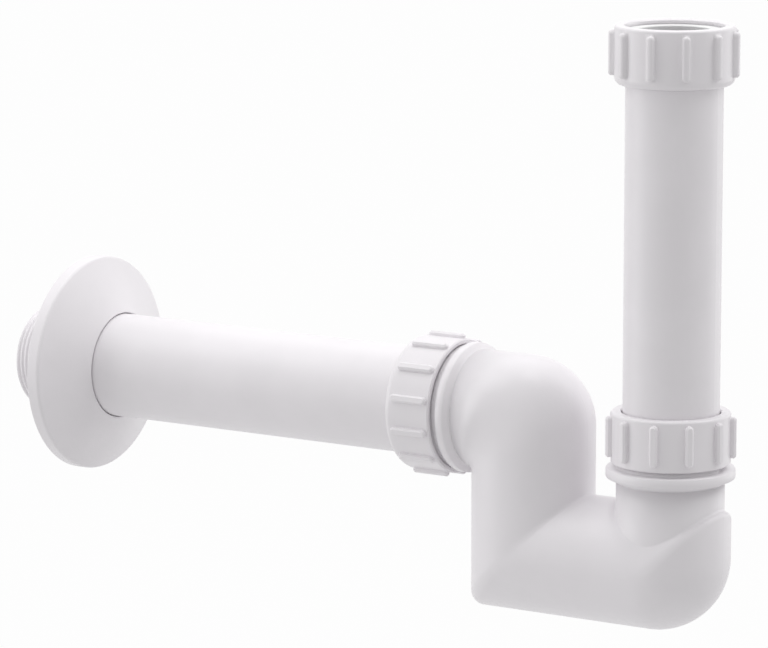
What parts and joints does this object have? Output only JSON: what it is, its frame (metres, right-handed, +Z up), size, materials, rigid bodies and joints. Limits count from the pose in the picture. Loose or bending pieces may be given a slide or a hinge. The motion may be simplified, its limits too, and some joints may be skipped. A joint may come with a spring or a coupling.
{
  "type": "sink trap",
  "caption": "White plastic tubular sink trap with a boat-shaped water seal, a ribbed union nut on the inlet tube, compression joints and a wall tube with a cone-faced flange.",
  "frame": {"origin": "middle of the sealing face on top of the inlet washer, on the inlet tube's axis", "axes": "+Z up along the inlet tube; the wall tube runs towards -X, so +X points away from the wall"},
  "size_m": [0.3315, 0.0902, 0.24],
  "materials": {
    "white_plastic": "satin",
    "washer": "satin",
    "seal": "matt",
    "slip_ring": "matt"
  },
  "bodies": {
    "inlet": {"inlet_tube": "white_plastic", "inlet_washer": "washer"},
    "union_nut": {"inlet_nut": "white_plastic"},
    "inlet_seal": {"inlet_cone_seal": "seal"},
    "trap": {"trap_body": "white_plastic"},
    "inlet_ring": {"inlet_slip_ring": "slip_ring"},
    "inlet_joint_nut": {"inlet_compression_nut": "white_plastic"},
    "outlet_seal": {"outlet_cone_seal": "seal"},
    "wall_pipe": {"wall_tube": "white_plastic"},
    "flange": {"wall_flange": "white_plastic"},
    "outlet_ring": {"outlet_slip_ring": "slip_ring"},
    "outlet_joint_nut": {"outlet_compression_nut": "white_plastic"}
  },
  "joints": [
    {"name": "union_nut_spin", "type": "hinge", "parent": "inlet", "child": "union_nut", "pos_m": [0, 0, 0], "axis": [0, 0, 1], "continuous": true},
    {"name": "trap_height", "type": "slide", "parent": "inlet", "child": "inlet_seal", "axis": [0, 0, 1], "range_m": [-0.05, 0.002]},
    {"name": "trap_swivel", "type": "hinge", "parent": "inlet_seal", "child": "trap", "pos_m": [0, 0, -0.1582], "axis": [0, 0, 1], "continuous": true},
    {"name": "inlet_ring_lift", "type": "slide", "parent": "trap", "child": "inlet_ring", "axis": [0, 0, 1], "range_m": [0, 0.01387]},
    {"name": "inlet_joint_nut_turn", "type": "hinge", "parent": "inlet_ring", "child": "inlet_joint_nut", "pos_m": [0, 0, -0.1582], "axis": [0, 0, 1], "range_deg": [0, 2160]},
    {"name": "wall_tube_swivel", "type": "hinge", "parent": "trap", "child": "outlet_seal", "pos_m": [-0.1025, 0, -0.1582], "axis": [-1, 0, 0], "continuous": true},
    {"name": "wall_tube_slide", "type": "slide", "parent": "outlet_seal", "child": "wall_pipe", "axis": [-1, 0, 0], "range_m": [-0.006, 0.018]},
    {"name": "flange_slide", "type": "slide", "parent": "wall_pipe", "child": "flange", "axis": [1, 0, 0], "range_m": [-0.024, 0.12]},
    {"name": "outlet_ring_lift", "type": "slide", "parent": "trap", "child": "outlet_ring", "axis": [-1, 0, 0], "range_m": [0, 0.01387]},
    {"name": "outlet_joint_nut_turn", "type": "hinge", "parent": "outlet_ring", "child": "outlet_joint_nut", "pos_m": [-0.1025, 0, -0.1582], "axis": [-1, 0, 0], "range_deg": [0, 2160]}
  ],
  "couplings": [
    {"joint": "inlet_ring_lift", "follows": "inlet_joint_nut_turn", "m_per_rad": 0.00036749},
    {"joint": "outlet_ring_lift", "follows": "outlet_joint_nut_turn", "m_per_rad": 0.00036749}
  ]
}
